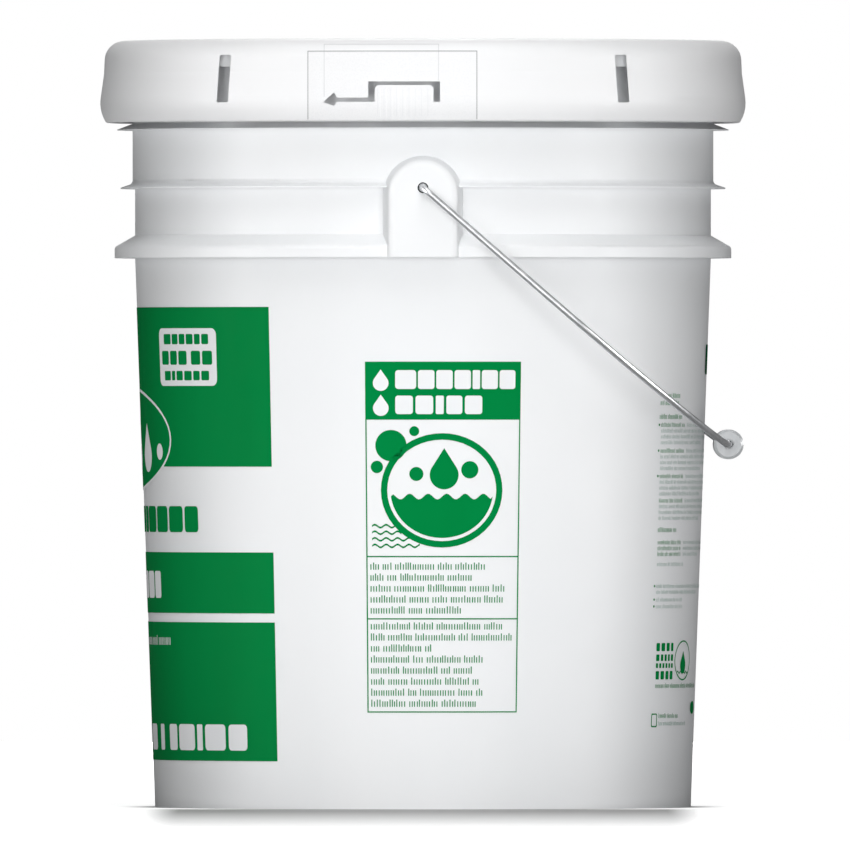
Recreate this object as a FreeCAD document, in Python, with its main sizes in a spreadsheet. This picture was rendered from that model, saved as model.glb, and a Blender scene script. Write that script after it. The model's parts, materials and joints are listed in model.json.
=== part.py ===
"""Lidded 18.9 litre pail with a wire bail.

Origin at the centre of the base, on the ground; +Z up.  The bail's ears are on -Y and +Y, and
the bail hangs towards +X.  Lengths in millimetres, angles in degrees.
"""
import FreeCAD, Part
import Sketcher
import math
import os
import re

Vector = FreeCAD.Vector

SIZES = [
    # Pail wall: heights from the ground, radii to the outside
    ("pail_height", 370.0, "ground to rim"),
    ("wall", 2.3, "wall thickness at the mouth and the heel"),
    ("base_radius", 131.2, "wall radius at the ground"),
    ("mouth_radius", 142.2, "wall radius above the middle hoop"),
    ("neck_step", 1.2, "how much narrower the wall is below the middle hoop"),
    ("foot_height", 5.0, "ground to the underside of the base"),
    ("foot_width", 3.0, "width of the foot ring"),
    ("floor", 2.5, "base thickness"),
    ("heel_round", 6.0, "round between floor and wall, inside"),
    # Hoops: drops are from the rim, reaches from the wall
    ("ring_drop", 101.3, "rim to the underside of the bail ring"),
    ("ring_reach", 10.0, "bail ring out from the neck"),
    ("ring_face", 5.4, "height of the bail ring's upright face"),
    ("ring_rise", 11.1, "height of the bail ring at the wall"),
    ("ring_lip", 2.2, "thickness of the bail ring"),
    ("ring_round", 2.2, "round of the bail ring's upper edge"),
    ("hoop_drop", 67.4, "rim to the underside of the middle hoop"),
    ("hoop_reach", 5.9, "middle hoop out from the mouth wall"),
    ("hoop_edge", 0.6, "middle hoop's thickness at its edge"),
    ("hoop_rise", 2.6, "height of the middle hoop at the wall"),
    ("hoop_round", 2.4, "round between the middle hoop and the wall above"),
    ("collar_drop", 38.7, "rim to the underside of the top hoop"),
    ("collar_reach", 7.6, "top hoop out from the mouth wall"),
    ("collar_edge", 0.3, "top hoop's thickness at its edge"),
    ("collar_rise", 3.2, "height of the top hoop at the wall"),
    ("rim_reach", 8.3, "rolled rim out from the mouth wall"),
    ("rim_depth", 8.5, "height of the rolled rim"),
    ("rim_wall", 2.2, "thickness of the rolled rim"),
    ("rim_round", 1.6, "round of the rolled rim"),
    # Ears
    ("ear_reach", 12.5, "ear face out from the neck"),
    ("ear_half", 16.56, "half width of the ear face"),
    ("ear_draft", 12.0, "draft of the ear's sides"),
    ("ear_wall", 2.3, "ear wall thickness"),
    ("ear_round", 3.8, "round of the ear face's sides and top"),
    ("ear_crown", 3.3, "centre of the ear's dome below the pivot"),
    ("pivot_drop", 67.7, "rim to the bail's pivot"),
    # Lid
    ("gasket_gap", 0.3, "rim to gasket"),
    ("gasket_height", 2.5, "gasket thickness"),
    ("gasket_margin", 1.2, "gasket out from the edge of the mouth"),
    ("roof", 2.2, "lid roof thickness"),
    ("skirt_gap", 2.8, "rim to the inside of the skirt"),
    ("skirt_wall", 2.2, "skirt thickness"),
    ("skirt_depth", 40.1, "lid top to the foot of the skirt"),
    ("bulge_drop", 33.9, "lid top to the corner that the bulge rounds off"),
    ("bulge_reach", 3.2, "that corner out from the top of the skirt"),
    ("skirt_tuck", 3.6, "foot of the skirt in from that corner"),
    ("foot_round", 1.5, "round of the skirt's foot, outside"),
    ("foot_flat", 0.15, "flat between the bulge's round and the foot's"),
    ("shoulder_drop", 16.0, "lid top to where the skirt starts to flare"),
    ("shoulder_reach", 0.7, "skirt at the shoulder out from its top"),
    ("crown_round", 9.5, "round of the lid's top edge"),
    ("recess_depth", 13.5, "depth of the stacking recess"),
    ("recess_draft", 1.0, "recess wall's lean"),
    ("recess_round", 2.0, "rounds of the recess"),
    ("panel", 2.4, "thickness of the lid's panel"),
    ("plug_gap", 0.35, "plug wall to the inside of the mouth"),
    ("plug_wall", 2.4, "plug wall thickness"),
    ("plug_depth", 20.0, "lid top to the foot of the plug"),
    ("plug_lead", 1.2, "bevel that leads the plug into the mouth"),
    ("bead_gap", 0.4, "snap bead to rim"),
    ("bead_height", 1.2, "height of the snap bead's face"),
    ("bead_slope", 1.4, "height of the snap bead's upper slope"),
    ("bead_lead", 2.6, "height of the snap bead's lower slope"),
    # Lever slots in the skirt
    ("slot_place", 96.9, "middle of a slot to either side of the ears"),
    ("slot_width", 5.6, "slot width"),
    ("slot_lean", 1.6, "foot of a slot out from its top"),
    ("slot_top", 7.8, "lid top to the top of the slots"),
    ("slot_foot", 31.0, "lid top to the foot of the slots"),
    ("slot_round", 0.8, "round of the slot corners"),
    # Arrow-shaped tear slot
    ("tear_left", 26.6, "left leg's outer side from the centre"),
    ("tear_right", 8.3, "right leg's outer side from the centre"),
    ("tear_top", 21.05, "lid top to the top of the tear slot"),
    ("tear_foot", 31.0, "lid top to the foot of the tear slot's legs"),
    ("tear_leg", 3.2, "width of the legs"),
    ("tear_bar", 1.8, "height of the top bar"),
    ("tear_shaft", 2.1, "height of the arrow's shaft"),
    ("tear_round", 2.2, "inner corners of the tear slot"),
    ("arrow_tip", 48.5, "arrow's tip from the centre"),
    ("arrow_head", 5.2, "length of the arrow's head"),
    ("arrow_notch", 1.6, "how far the head's back leans from its corners to the shaft"),
    ("arrow_rise", 4.6, "head's upper corner above the shaft's lower side"),
    ("arrow_fall", 2.0, "head's lower corner below the shaft's lower side"),
    # Tear tab's finger ribs
    ("tab_ribs", 9, "number of finger ribs"),
    ("tab_pitch", 3.04, "rib to rib"),
    ("tab_first", 21.6, "first rib left of the centre"),
    ("tab_width", 1.5, "rib width"),
    ("tab_reach", 0.35, "ribs out from the skirt"),
    ("tab_top", 24.4, "lid top to the top of the ribs"),
    # Bail
    ("wire", 3.2, "wire diameter"),
    ("hole_gap", 0.45, "wire to the side of the ear's hole"),
    ("head_diameter", 7.2, "upset head's diameter"),
    ("head_height", 2.2, "upset head's thickness"),
    ("head_gap", 0.4, "head to the back of the ear face"),
    ("leg_gap", 1.25, "wire to the corner of the lid's bulge"),
    ("elbow_bend", 5.0, "bend beside each ear"),
    ("bail_reach", 194.7, "pivot to grip"),
    ("rest_gap", 4.5, "hanging grip to the wall, measured level"),
    ("arch_run", 2.4, "straight run between the arch and the grip's end"),
    ("leg_dip", 4.0, "arch corner below the line from pivot to grip"),
    ("grip_bend", 60.0, "bend where the wire enters the grip"),
    # Grip
    ("grip_diameter", 14.6, "grip diameter"),
    ("grip_length", 82.0, "grip length"),
    ("grip_gap", 0.3, "wire to bore"),
    ("grip_bevel", 1.2, "bevel of the grip's ends"),
    ("grip_mouth", 2.6, "radius of the recess in each end"),
    ("grip_mouth_depth", 1.2, "depth of the recess in each end"),
    ("grip_margin", 2.5, "grip's end to the wire's next bend"),
]

# Places and fits worked out from the sizes above
DERIVED = [
    ("neck_radius", "mouth_radius - neck_step"),
    ("ring_z", "pail_height - ring_drop"),
    ("hoop_z", "pail_height - hoop_drop"),
    ("collar_z", "pail_height - collar_drop"),
    ("pivot_z", "pail_height - pivot_drop"),
    ("floor_z", "foot_height + floor"),
    ("rim_radius", "mouth_radius + rim_reach"),
    ("mouth_inside", "mouth_radius - wall"),
    ("ear_face", "neck_radius + ear_reach"),
    ("dome_z", "pivot_z - ear_crown"),
    ("gasket_z", "pail_height + gasket_gap"),
    ("roof_z", "gasket_z + gasket_height"),
    ("lid_z", "roof_z + roof"),
    ("lid_radius", "rim_radius + skirt_gap + skirt_wall"),
    ("bulge_radius", "lid_radius + bulge_reach"),
    ("flare_angle", "atan( ( bulge_reach - shoulder_reach ) / ( bulge_drop - shoulder_drop ) )"),
    ("tuck_angle", "atan( skirt_tuck / ( skirt_depth - bulge_drop ) )"),
    ("foot_share", "foot_flat + foot_round * ( 1 - sin( tuck_angle ) ) / cos( tuck_angle )"),
    ("bulge_share", "( skirt_depth - bulge_drop ) / cos( tuck_angle ) - foot_share"),
    ("bulge_round", "bulge_share / tan( ( flare_angle + tuck_angle ) / 2 )"),
    ("plug_radius", "mouth_inside - plug_gap"),
    ("recess_radius", "plug_radius - plug_wall"),
    ("tab_face", "bulge_radius + tab_reach"),
    ("bail_half", "bulge_radius + leg_gap + wire / 2"),
    ("head_face", "ear_face - ear_wall - head_gap"),
    ("hole_radius", "wire / 2 + hole_gap"),
    ("grip_entry", "grip_length / 2 + grip_margin"),
    ("arch_bend", "bail_half - grip_entry - arch_run"),
    ("wall_slope", "( neck_radius - base_radius ) / ring_z"),
    ("rest_radius", "base_radius + wall_slope * pivot_z + grip_diameter / 2 + rest_gap"),
    ("bail_angle", "atan( wall_slope ) + acos( rest_radius * cos( atan( wall_slope ) ) / bail_reach )"),
]

NAMES = {row[0] for row in SIZES + DERIVED}

doc = FreeCAD.newDocument("pail")
sheet = doc.addObject("Spreadsheet::Sheet", "Size")


def fill_sheet():
    """Write the sizes and what follows from them, each cell under its own alias."""
    rows = [(name, str(number), note) for name, number, note in SIZES]
    rows += [(name, "=" + formula, "worked out") for name, formula in DERIVED]
    for row, (name, content, note) in enumerate(rows, start=1):
        sheet.set(f"A{row}", name)
        sheet.set(f"B{row}", content)
        sheet.setAlias(f"B{row}", name)
        sheet.set(f"C{row}", note)
    doc.recompute()


def full(formula):
    """The formula with each of the sheet's names in the form that other objects use."""
    return re.sub(r"[a-z_]+", lambda word: f"Size.{word[0]}" if word[0] in NAMES else word[0], formula)


def value(formula):
    """What the formula gives with the sheet's present sizes."""
    return float(sheet.evalExpression(formula))


def new_body(label):
    body = doc.addObject("PartDesign::Body", label)
    body.Label = label
    return body


def origin_plane(body, role):
    return next(item for item in body.Origin.OriginFeatures if item.Role == role)


def new_sketch(body, name, plane, offset="0"):
    """Sketch on one of the body's origin planes, moved along the plane's normal."""
    sketch = body.newObject("Sketcher::SketchObject", name)
    sketch.AttachmentSupport = [(origin_plane(body, plane), "")]
    sketch.MapMode = "FlatFace"
    sketch.setExpression("AttachmentOffset.Base.z", full(offset))
    return sketch


def hold_point(sketch, geometry, end, x, y):
    """Hold a point of the sketch at the distances x and y from its origin."""
    for kind, formula in (("DistanceX", x), ("DistanceY", y)):
        index = sketch.addConstraint(
            Sketcher.Constraint(kind, -1, 1, geometry, end, value(formula)))
        sketch.setExpression(f"Constraints[{index}]", full(formula))


def draw_outline(sketch, corners):
    """Closed outline through corners (x, y) or (x, y, round), each a formula of the sheet."""
    corners = [tuple(corner) + ("0",) * (3 - len(corner)) for corner in corners]
    points = [Vector(value(x), value(y), 0) for x, y, _ in corners]
    rounds = [value(size) for _, _, size in corners]
    count = len(points)
    entries, exits, arcs = [], [], {}
    for i, corner in enumerate(points):
        if rounds[i] == 0:
            entries.append(corner)
            exits.append(corner)
            continue
        back = (points[i - 1] - corner).normalize()
        ahead = (points[(i + 1) % count] - corner).normalize()
        half = back.getAngle(ahead) / 2
        entries.append(corner + back * (rounds[i] / math.tan(half)))
        exits.append(corner + ahead * (rounds[i] / math.tan(half)))
        centre = corner + (back + ahead).normalize() * (rounds[i] / math.sin(half))
        arcs[i] = centre
    lines = [Part.LineSegment(exits[i], entries[(i + 1) % count]) for i in range(count)]
    sketch.addGeometry(lines, False)
    for i, (x, y, size) in enumerate(corners):
        before = (i - 1) % count
        if i not in arcs:
            sketch.addConstraint(Sketcher.Constraint("Coincident", before, 2, i, 1))
            hold_point(sketch, i, 1, x, y)
            continue
        draw_round(sketch, before, i, entries[i], exits[i], arcs[i], size)
        corner = sketch.addGeometry(Part.Point(points[i]), True)
        sketch.addConstraint(Sketcher.Constraint("PointOnObject", corner, 1, before))
        sketch.addConstraint(Sketcher.Constraint("PointOnObject", corner, 1, i))
        hold_point(sketch, corner, 1, x, y)


def draw_round(sketch, before, after, entry, leave, centre, size):
    """Arc of the given size between the line before a corner and the line after it."""
    start = math.atan2(entry.y - centre.y, entry.x - centre.x)
    stop = math.atan2(leave.y - centre.y, leave.x - centre.x)
    turn = (stop - start) % (2 * math.pi)
    forward = turn < math.pi
    circle = Part.Circle(centre, Vector(0, 0, 1), value(size))
    span = (start, stop) if forward else (stop, start)
    arc = sketch.addGeometry(Part.ArcOfCircle(circle, *span), False)
    ends = (1, 2) if forward else (2, 1)
    sketch.addConstraint(Sketcher.Constraint("Tangent", before, 2, arc, ends[0]))
    sketch.addConstraint(Sketcher.Constraint("Tangent", after, 1, arc, ends[1]))
    index = sketch.addConstraint(Sketcher.Constraint("Radius", arc, value(size)))
    sketch.setExpression(f"Constraints[{index}]", full(size))


def draw_tombstone(sketch, half, foot, dome):
    """Upright outline with a half-round top about the height given by dome."""
    side, low, high = value(half), value(foot), value(dome)
    circle = Part.Circle(Vector(0, high, 0), Vector(0, 0, 1), side)
    sketch.addGeometry([
        Part.ArcOfCircle(circle, 0, math.pi),
        Part.LineSegment(Vector(-side, high, 0), Vector(-side, low, 0)),
        Part.LineSegment(Vector(-side, low, 0), Vector(side, low, 0)),
        Part.LineSegment(Vector(side, low, 0), Vector(side, high, 0)),
    ], False)
    sketch.addConstraint([
        Sketcher.Constraint("Tangent", 0, 2, 1, 1),
        Sketcher.Constraint("Coincident", 1, 2, 2, 1),
        Sketcher.Constraint("Coincident", 2, 2, 3, 1),
        Sketcher.Constraint("Tangent", 0, 1, 3, 2),
        Sketcher.Constraint("Vertical", 1),
        Sketcher.Constraint("Vertical", 3),
        Sketcher.Constraint("Horizontal", 2),
    ])
    hold_point(sketch, 0, 3, "0", dome)
    radius = sketch.addConstraint(Sketcher.Constraint("Radius", 0, side))
    sketch.setExpression(f"Constraints[{radius}]", full(half))
    bottom = sketch.addConstraint(Sketcher.Constraint("DistanceY", -1, 1, 1, 2, low))
    sketch.setExpression(f"Constraints[{bottom}]", full(foot))


def bend(x, y, size, angles):
    """Corners at some angles along a round about the point (x, y), which a few flats then follow."""
    return [(f"{x} + {size} * cos({angle})", f"{y} + {size} * sin({angle})") for angle in angles]


def turned(body, kind, name, corners, plane="XZ_Plane"):
    """Revolution or Groove of an outline about the plane's upright axis."""
    sketch = new_sketch(body, name + "_outline", plane)
    draw_outline(sketch, corners)
    feature = body.newObject("PartDesign::" + kind, name)
    feature.Profile = (sketch, [""])
    feature.ReferenceAxis = (sketch, ["V_Axis"])
    feature.Angle = 360
    return feature


def extruded(body, kind, name, sketch, length, inward=True):
    """Pad or Pocket of a sketch; inward runs against the sketch's normal."""
    feature = body.newObject("PartDesign::" + kind, name)
    feature.Profile = (sketch, [""])
    feature.setExpression("Length", full(length))
    feature.Reversed = inward == (kind == "Pad")
    return feature


def mirrored_whole(body, name, plane):
    """The body so far together with its mirror image in an origin plane."""
    doc.recompute()
    feature = body.newObject("PartDesign::Mirrored", name)
    feature.MirrorPlane = (origin_plane(body, plane), [""])
    feature.TransformMode = "Whole shape"
    body.Tip = feature
    doc.recompute()


# ---------------------------------------------------------------- pail

def make_pail_body():
    body = new_body("pail_body")
    make_hoops(body)
    make_ear(body)
    mirrored_whole(body, "far_ear", "XZ_Plane")
    turned(body, "Revolution", "shell", [
        ("0", "foot_height"),
        ("base_radius - foot_width", "foot_height"),
        ("base_radius - foot_width", "0"),
        ("base_radius", "0"),
        ("neck_radius", "ring_z"),
        ("neck_radius", "hoop_z"),
        ("mouth_radius", "hoop_z + hoop_rise"),
        ("mouth_radius", "pail_height - rim_wall"),
        ("rim_radius - rim_wall", "pail_height - rim_wall"),
        ("rim_radius - rim_wall", "pail_height - rim_depth"),
        ("rim_radius", "pail_height - rim_depth"),
        *bend("rim_radius - rim_round", "pail_height - rim_round", "rim_round", (0, 90)),
        ("0", "pail_height"),
    ])
    turned(body, "Groove", "inside", [
        ("0", "floor_z"),
        *bend("base_radius - wall - heel_round", "floor_z + heel_round", "heel_round", (-90, -45, 0)),
        ("neck_radius - wall", "ring_z"),
        ("neck_radius - wall", "hoop_z"),
        ("mouth_inside", "hoop_z + hoop_rise"),
        ("mouth_inside", "pail_height + wall"),
        ("0", "pail_height + wall"),
    ])
    return body


def make_hoops(body):
    """The bail ring, an open lip below, and the two thin hoops above it, with the wall between."""
    inner = "neck_radius - wall / 2"
    turned(body, "Revolution", "hoops", [
        (inner, "ring_z + ring_rise - ring_lip"),
        ("neck_radius + ring_reach - ring_lip", "ring_z + ring_face - ring_lip / 2"),
        ("neck_radius + ring_reach - ring_lip", "ring_z"),
        ("neck_radius + ring_reach", "ring_z"),
        ("neck_radius + ring_reach", "ring_z + ring_face", "ring_round"),
        ("neck_radius", "ring_z + ring_rise"),
        ("neck_radius", "hoop_z"),
        ("mouth_radius + hoop_reach", "hoop_z"),
        ("mouth_radius + hoop_reach", "hoop_z + hoop_edge"),
        ("mouth_radius", "hoop_z + hoop_rise", "hoop_round"),
        ("mouth_radius", "collar_z"),
        ("mouth_radius + collar_reach", "collar_z"),
        ("mouth_radius + collar_reach", "collar_z + collar_edge"),
        ("mouth_radius", "collar_z + collar_rise"),
        (inner, "collar_z + collar_rise"),
    ])


def make_ear(body):
    """Hollow ear on -Y, open below, with the hole for the bail."""
    outline = new_sketch(body, "ear_outline", "XZ_Plane", "ear_face")
    draw_tombstone(outline, "ear_half", "ring_z", "dome_z")
    ear = extruded(body, "Pad", "ear", outline, "ear_reach + wall / 2")
    ear.setExpression("TaperAngle", full("ear_draft"))
    doc.recompute()
    edge = body.newObject("PartDesign::Fillet", "ear_edge")
    edge.Base = (ear, face_edges(ear.Shape, -value("ear_face"), value("ring_z")))
    edge.setExpression("Radius", full("ear_round"))
    foot = new_sketch(body, "ear_foot_outline", "XY_Plane", "ring_z")
    draw_outline(foot, [
        ("-2 * ear_half", "-ear_face - wall"),
        ("2 * ear_half", "-ear_face - wall"),
        ("2 * ear_half", "-neck_radius + wall"),
        ("-2 * ear_half", "-neck_radius + wall"),
    ])
    extruded(body, "Pocket", "ear_foot", foot, "ear_reach")
    hollow = new_sketch(body, "ear_hollow_outline", "XZ_Plane", "ear_face - ear_wall")
    inset = "ear_half + ear_wall * tan(ear_draft) - ear_wall / cos(ear_draft)"
    draw_tombstone(hollow, inset, "ring_z - ear_wall", "dome_z")
    inside = extruded(body, "Pocket", "ear_hollow", hollow, "ear_reach - ear_wall + wall / 2")
    inside.setExpression("TaperAngle", full("ear_draft"))
    hole = new_sketch(body, "ear_hole_outline", "XZ_Plane", "ear_face")
    radius = value("hole_radius")
    circle = hole.addGeometry(Part.Circle(Vector(0, value("pivot_z"), 0), Vector(0, 0, 1), radius))
    hold_point(hole, circle, 3, "0", "pivot_z")
    size = hole.addConstraint(Sketcher.Constraint("Radius", circle, radius))
    hole.setExpression(f"Constraints[{size}]", full("hole_radius"))
    extruded(body, "Pocket", "ear_hole", hole, "ear_wall + hole_gap")


def face_edges(shape, y, foot):
    """Names of the edges that lie wholly in the plane at y, apart from the one at the height foot."""
    return [f"Edge{number}" for number, edge in enumerate(shape.Edges, start=1)
            if all(abs(vertex.Y - y) < 1e-4 for vertex in edge.Vertexes)
            and abs(edge.CenterOfMass.y - y) < 1e-4
            and abs(edge.CenterOfMass.z - foot) > 1e-4]


# ---------------------------------------------------------------- lid

def make_lid():
    body = new_body("lid")
    skirt_inside = "lid_radius - skirt_wall"
    bead_z = "pail_height - rim_depth - bead_gap"
    crown_x, crown_z = "lid_radius - crown_round", "lid_z - crown_round"
    recess_x, recess_z = "recess_radius + recess_draft", "lid_z - recess_depth"
    turned(body, "Revolution", "lid_shell", [
        ("bulge_radius - skirt_tuck", "lid_z - skirt_depth", "foot_round"),
        ("bulge_radius", "lid_z - bulge_drop", "bulge_round"),
        ("lid_radius + shoulder_reach", "lid_z - shoulder_drop"),
        ("lid_radius", "lid_z", "crown_round"),
        *bend(f"{recess_x} + recess_round", "lid_z - recess_round", "recess_round", (90, 180)),
        *bend("recess_radius - recess_round", f"{recess_z} + recess_round", "recess_round", (0, -90)),
        ("0", recess_z),
        ("0", f"{recess_z} - panel"),
        ("recess_radius", f"{recess_z} - panel"),
        ("recess_radius", "lid_z - plug_depth"),
        ("plug_radius - plug_lead", "lid_z - plug_depth"),
        ("plug_radius", "lid_z - plug_depth + plug_lead"),
        ("plug_radius", "roof_z"),
        *bend(crown_x, crown_z, "( crown_round - skirt_wall )", (90, 45, 0)),
        (skirt_inside, bead_z),
        ("rim_radius + bead_gap", f"{bead_z} - bead_slope"),
        ("rim_radius + bead_gap", f"{bead_z} - bead_slope - bead_height"),
        (skirt_inside + " + shoulder_reach", f"{bead_z} - bead_slope - bead_height - bead_lead"),
        ("bulge_radius - skirt_wall", "lid_z - bulge_drop", "bulge_round - skirt_wall"),
        ("bulge_radius - skirt_tuck - skirt_wall", "lid_z - skirt_depth"),
    ])
    make_tab_ribs(body)
    cut_tear_slot(body)
    cut_lever_slots(body)
    return body


def make_tab_ribs(body):
    """Low upright finger ribs on the tear tab, which follow the skirt's bulge."""
    sketch = new_sketch(body, "tab_rib_outline", "YZ_Plane")
    sketch.AttachmentOffset = FreeCAD.Placement(Vector(), FreeCAD.Rotation(Vector(0, 1, 0), -1))
    sketch.setExpression("AttachmentOffset.Rotation.Angle", full("-asin( tab_first / bulge_radius )"))
    upper = "bulge_radius - tan( flare_angle ) * ( bulge_drop - tab_top )"
    lower = "bulge_radius - tan( tuck_angle ) * ( skirt_depth - bulge_drop - foot_flat )"
    draw_outline(sketch, [
        (f"-( {lower} + tab_reach )", "lid_z - skirt_depth + foot_flat"),
        ("-( bulge_radius + tab_reach )", "lid_z - bulge_drop", "bulge_round + tab_reach"),
        (f"-( {upper} + tab_reach )", "lid_z - tab_top"),
        (f"-( {upper} - skirt_wall / 2 )", "lid_z - tab_top"),
        ("-( bulge_radius - skirt_wall / 2 )", "lid_z - bulge_drop", "bulge_round - skirt_wall / 2"),
        (f"-( {lower} - skirt_wall / 2 )", "lid_z - skirt_depth + foot_flat"),
    ])
    rib = body.newObject("PartDesign::Revolution", "tab_rib")
    rib.Profile = (sketch, [""])
    rib.ReferenceAxis = (sketch, ["V_Axis"])
    rib.Midplane = True
    rib.setExpression("Angle", full("2 * asin( tab_width / 2 / bulge_radius )"))
    row = body.newObject("PartDesign::PolarPattern", "tab_rib_row")
    row.Originals = [rib]
    row.Axis = (sketch, ["V_Axis"])
    row.setExpression("Angle", full("( tab_ribs - 1 ) * 2 * asin( tab_pitch / 2 / bulge_radius )"))
    row.setExpression("Occurrences", full("tab_ribs"))
    body.Tip = row


def cut_tear_slot(body):
    """Slot round the tear tab, with an arrow that points the way it tears."""
    sketch = new_sketch(body, "tear_outline", "XZ_Plane", "tab_face + skirt_wall")
    top, foot = "lid_z - tear_top", "lid_z - tear_foot"
    shaft = f"{foot} + tear_shaft"
    neck = "-arrow_tip + arrow_head + arrow_notch"
    draw_outline(sketch, [
        ("-arrow_tip", foot),
        ("-arrow_tip + arrow_head", f"{foot} - arrow_fall"),
        (neck, foot),
        ("-tear_left + tear_leg", foot),
        ("-tear_left + tear_leg", f"{top} - tear_bar", "tear_round"),
        ("tear_right - tear_leg", f"{top} - tear_bar", "tear_round"),
        ("tear_right - tear_leg", foot),
        ("tear_right", foot),
        ("tear_right", top),
        ("-tear_left", top),
        ("-tear_left", shaft),
        (neck, shaft),
        ("-arrow_tip + arrow_head", f"{foot} + arrow_rise"),
    ])
    extruded(body, "Pocket", "tear_slot", sketch, "tab_face - rim_radius + 2 * skirt_wall + skirt_gap")


def cut_lever_slots(body):
    """Four upright slots through the skirt, to either side of both ears, cut straight along Y."""
    sketch = new_sketch(body, "slot_outline", "XZ_Plane", "bulge_radius")
    top, foot = "slot_place - slot_lean / 2", "slot_place + slot_lean / 2"
    draw_outline(sketch, [
        (f"{foot} - slot_width / 2", "lid_z - slot_foot", "slot_round"),
        (f"{foot} + slot_width / 2", "lid_z - slot_foot", "slot_round"),
        (f"{top} + slot_width / 2", "lid_z - slot_top", "slot_round"),
        (f"{top} - slot_width / 2", "lid_z - slot_top", "slot_round"),
    ])
    edge = "(slot_place + (slot_lean + slot_width) / 2)"
    rim = f"sqrt( rim_radius * rim_radius - {edge} * {edge} )"
    slot = extruded(body, "Pocket", "slot", sketch, f"bulge_radius - {rim}")
    around = body.newObject("PartDesign::MultiTransform", "slots")
    around.Originals = [slot]
    across = body.newObject("PartDesign::Mirrored", "slots_across")
    across.MirrorPlane = (origin_plane(body, "YZ_Plane"), [""])
    behind = body.newObject("PartDesign::Mirrored", "slots_behind")
    behind.MirrorPlane = (origin_plane(body, "XZ_Plane"), [""])
    around.Transformations = [across, behind]
    body.Tip = around


def make_lid_gasket():
    body = new_body("lid_gasket")
    inner, outer = "mouth_inside + gasket_margin", "lid_radius - crown_round"
    turned(body, "Revolution", "gasket", [
        (inner, "gasket_z"),
        (outer, "gasket_z"),
        (outer, "roof_z"),
        (inner, "roof_z"),
    ])
    return body


# ---------------------------------------------------------------- bail

def hang(item, reach="0"):
    """Hang a piece that lies along Y, drawn about its own middle, at its reach from the pivot."""
    item.Placement = FreeCAD.Placement(Vector(0, 0, 0), FreeCAD.Rotation(Vector(0, 1, 0), 1))
    item.setExpression("Placement.Base.x", full(f"{reach} * cos(bail_angle)"))
    item.setExpression("Placement.Base.z", full(f"pivot_z - {reach} * sin(bail_angle)"))
    item.setExpression("Placement.Rotation.Angle", full("bail_angle"))


def bent_wire(points, bends):
    """Straight runs through the points, with an arc of the given radius at each inner one."""
    edges = []
    start = points[0]
    for before, corner, after, bend in zip(points, points[1:], points[2:], bends):
        back = (before - corner).normalize()
        ahead = (after - corner).normalize()
        half = back.getAngle(ahead) / 2
        into = corner + back * (bend / math.tan(half))
        leave = corner + ahead * (bend / math.tan(half))
        towards = (back + ahead).normalize()
        middle = corner + towards * (bend / math.sin(half) - bend)
        edges.append(Part.LineSegment(start, into).toShape())
        edges.append(Part.Arc(into, middle, leave).toShape())
        start = leave
    edges.append(Part.LineSegment(start, points[-1]).toShape())
    return Part.Wire(edges)


def make_bail_wire():
    reach, half = value("bail_reach"), value("bail_half")
    entry = value("grip_entry")
    side = [
        Vector(0, value("head_face - head_height / 2"), 0),
        Vector(0, half, 0),
        Vector(reach, half, -value("leg_dip")),
        Vector(reach, entry, 0),
    ]
    near = [Vector(point.x, -point.y, point.z) for point in side]
    bends = [value("elbow_bend"), value("arch_bend"), value("grip_bend")]
    path = doc.addObject("Part::Feature", "bail_path")
    path.Shape = bent_wire(near + side[::-1], bends + bends[::-1])
    section = doc.addObject("Part::Circle", "bail_section")
    section.setExpression("Radius", full("wire / 2"))
    section.Placement = FreeCAD.Placement(near[0], FreeCAD.Rotation(Vector(1, 0, 0), 90))
    tube = doc.addObject("Part::Sweep", "bail_tube")
    tube.Sections = [section]
    tube.Spine = (path, [f"Edge{number}" for number in range(1, len(path.Shape.Edges) + 1)])
    tube.Solid = True
    tube.Frenet = False
    heads = [make_head("near_head", "-head_face"), make_head("far_head", "head_face - head_height")]
    wire = doc.addObject("Part::MultiFuse", "bail_wire")
    wire.Shapes = [tube] + heads
    hang(wire)
    return wire


def make_head(name, start):
    """Upset head of the wire, along Y from start."""
    head = doc.addObject("Part::Cylinder", name)
    head.setExpression("Radius", full("head_diameter / 2"))
    head.setExpression("Height", full("head_height"))
    head.Placement = FreeCAD.Placement(Vector(0, 0, 0), FreeCAD.Rotation(Vector(1, 0, 0), -90))
    head.setExpression("Placement.Base.y", full(start))
    return head


def make_bail_grip():
    """Tube about its own Y axis, with a recess round the wire at each end."""
    body = new_body("bail_grip")
    bore, outside = "wire / 2 + grip_gap", "grip_diameter / 2"
    end = "grip_length / 2"
    turned(body, "Revolution", "grip_tube", [
        (bore, f"-{end} + grip_mouth_depth"),
        ("grip_mouth", f"-{end} + grip_mouth_depth"),
        ("grip_mouth", f"-{end}"),
        (f"{outside} - grip_bevel", f"-{end}"),
        (outside, f"-{end} + grip_bevel"),
        (outside, f"{end} - grip_bevel"),
        (f"{outside} - grip_bevel", end),
        ("grip_mouth", end),
        ("grip_mouth", f"{end} - grip_mouth_depth"),
        (bore, f"{end} - grip_mouth_depth"),
    ], "XY_Plane")
    hang(body, "bail_reach")
    return body


# ---------------------------------------------------------------- document

def check(items):
    """Stop if an object has failed or a sub-part has no sound solid."""
    for item in doc.Objects:
        if "Invalid" in item.State or "Error" in item.State:
            raise RuntimeError(f"{item.Label} failed: {item.State}")
    for item in items:
        if item.Shape.isNull() or not item.Shape.isValid() or len(item.Shape.Solids) != 1:
            raise RuntimeError(f"{item.Label} is not one sound solid")


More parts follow.
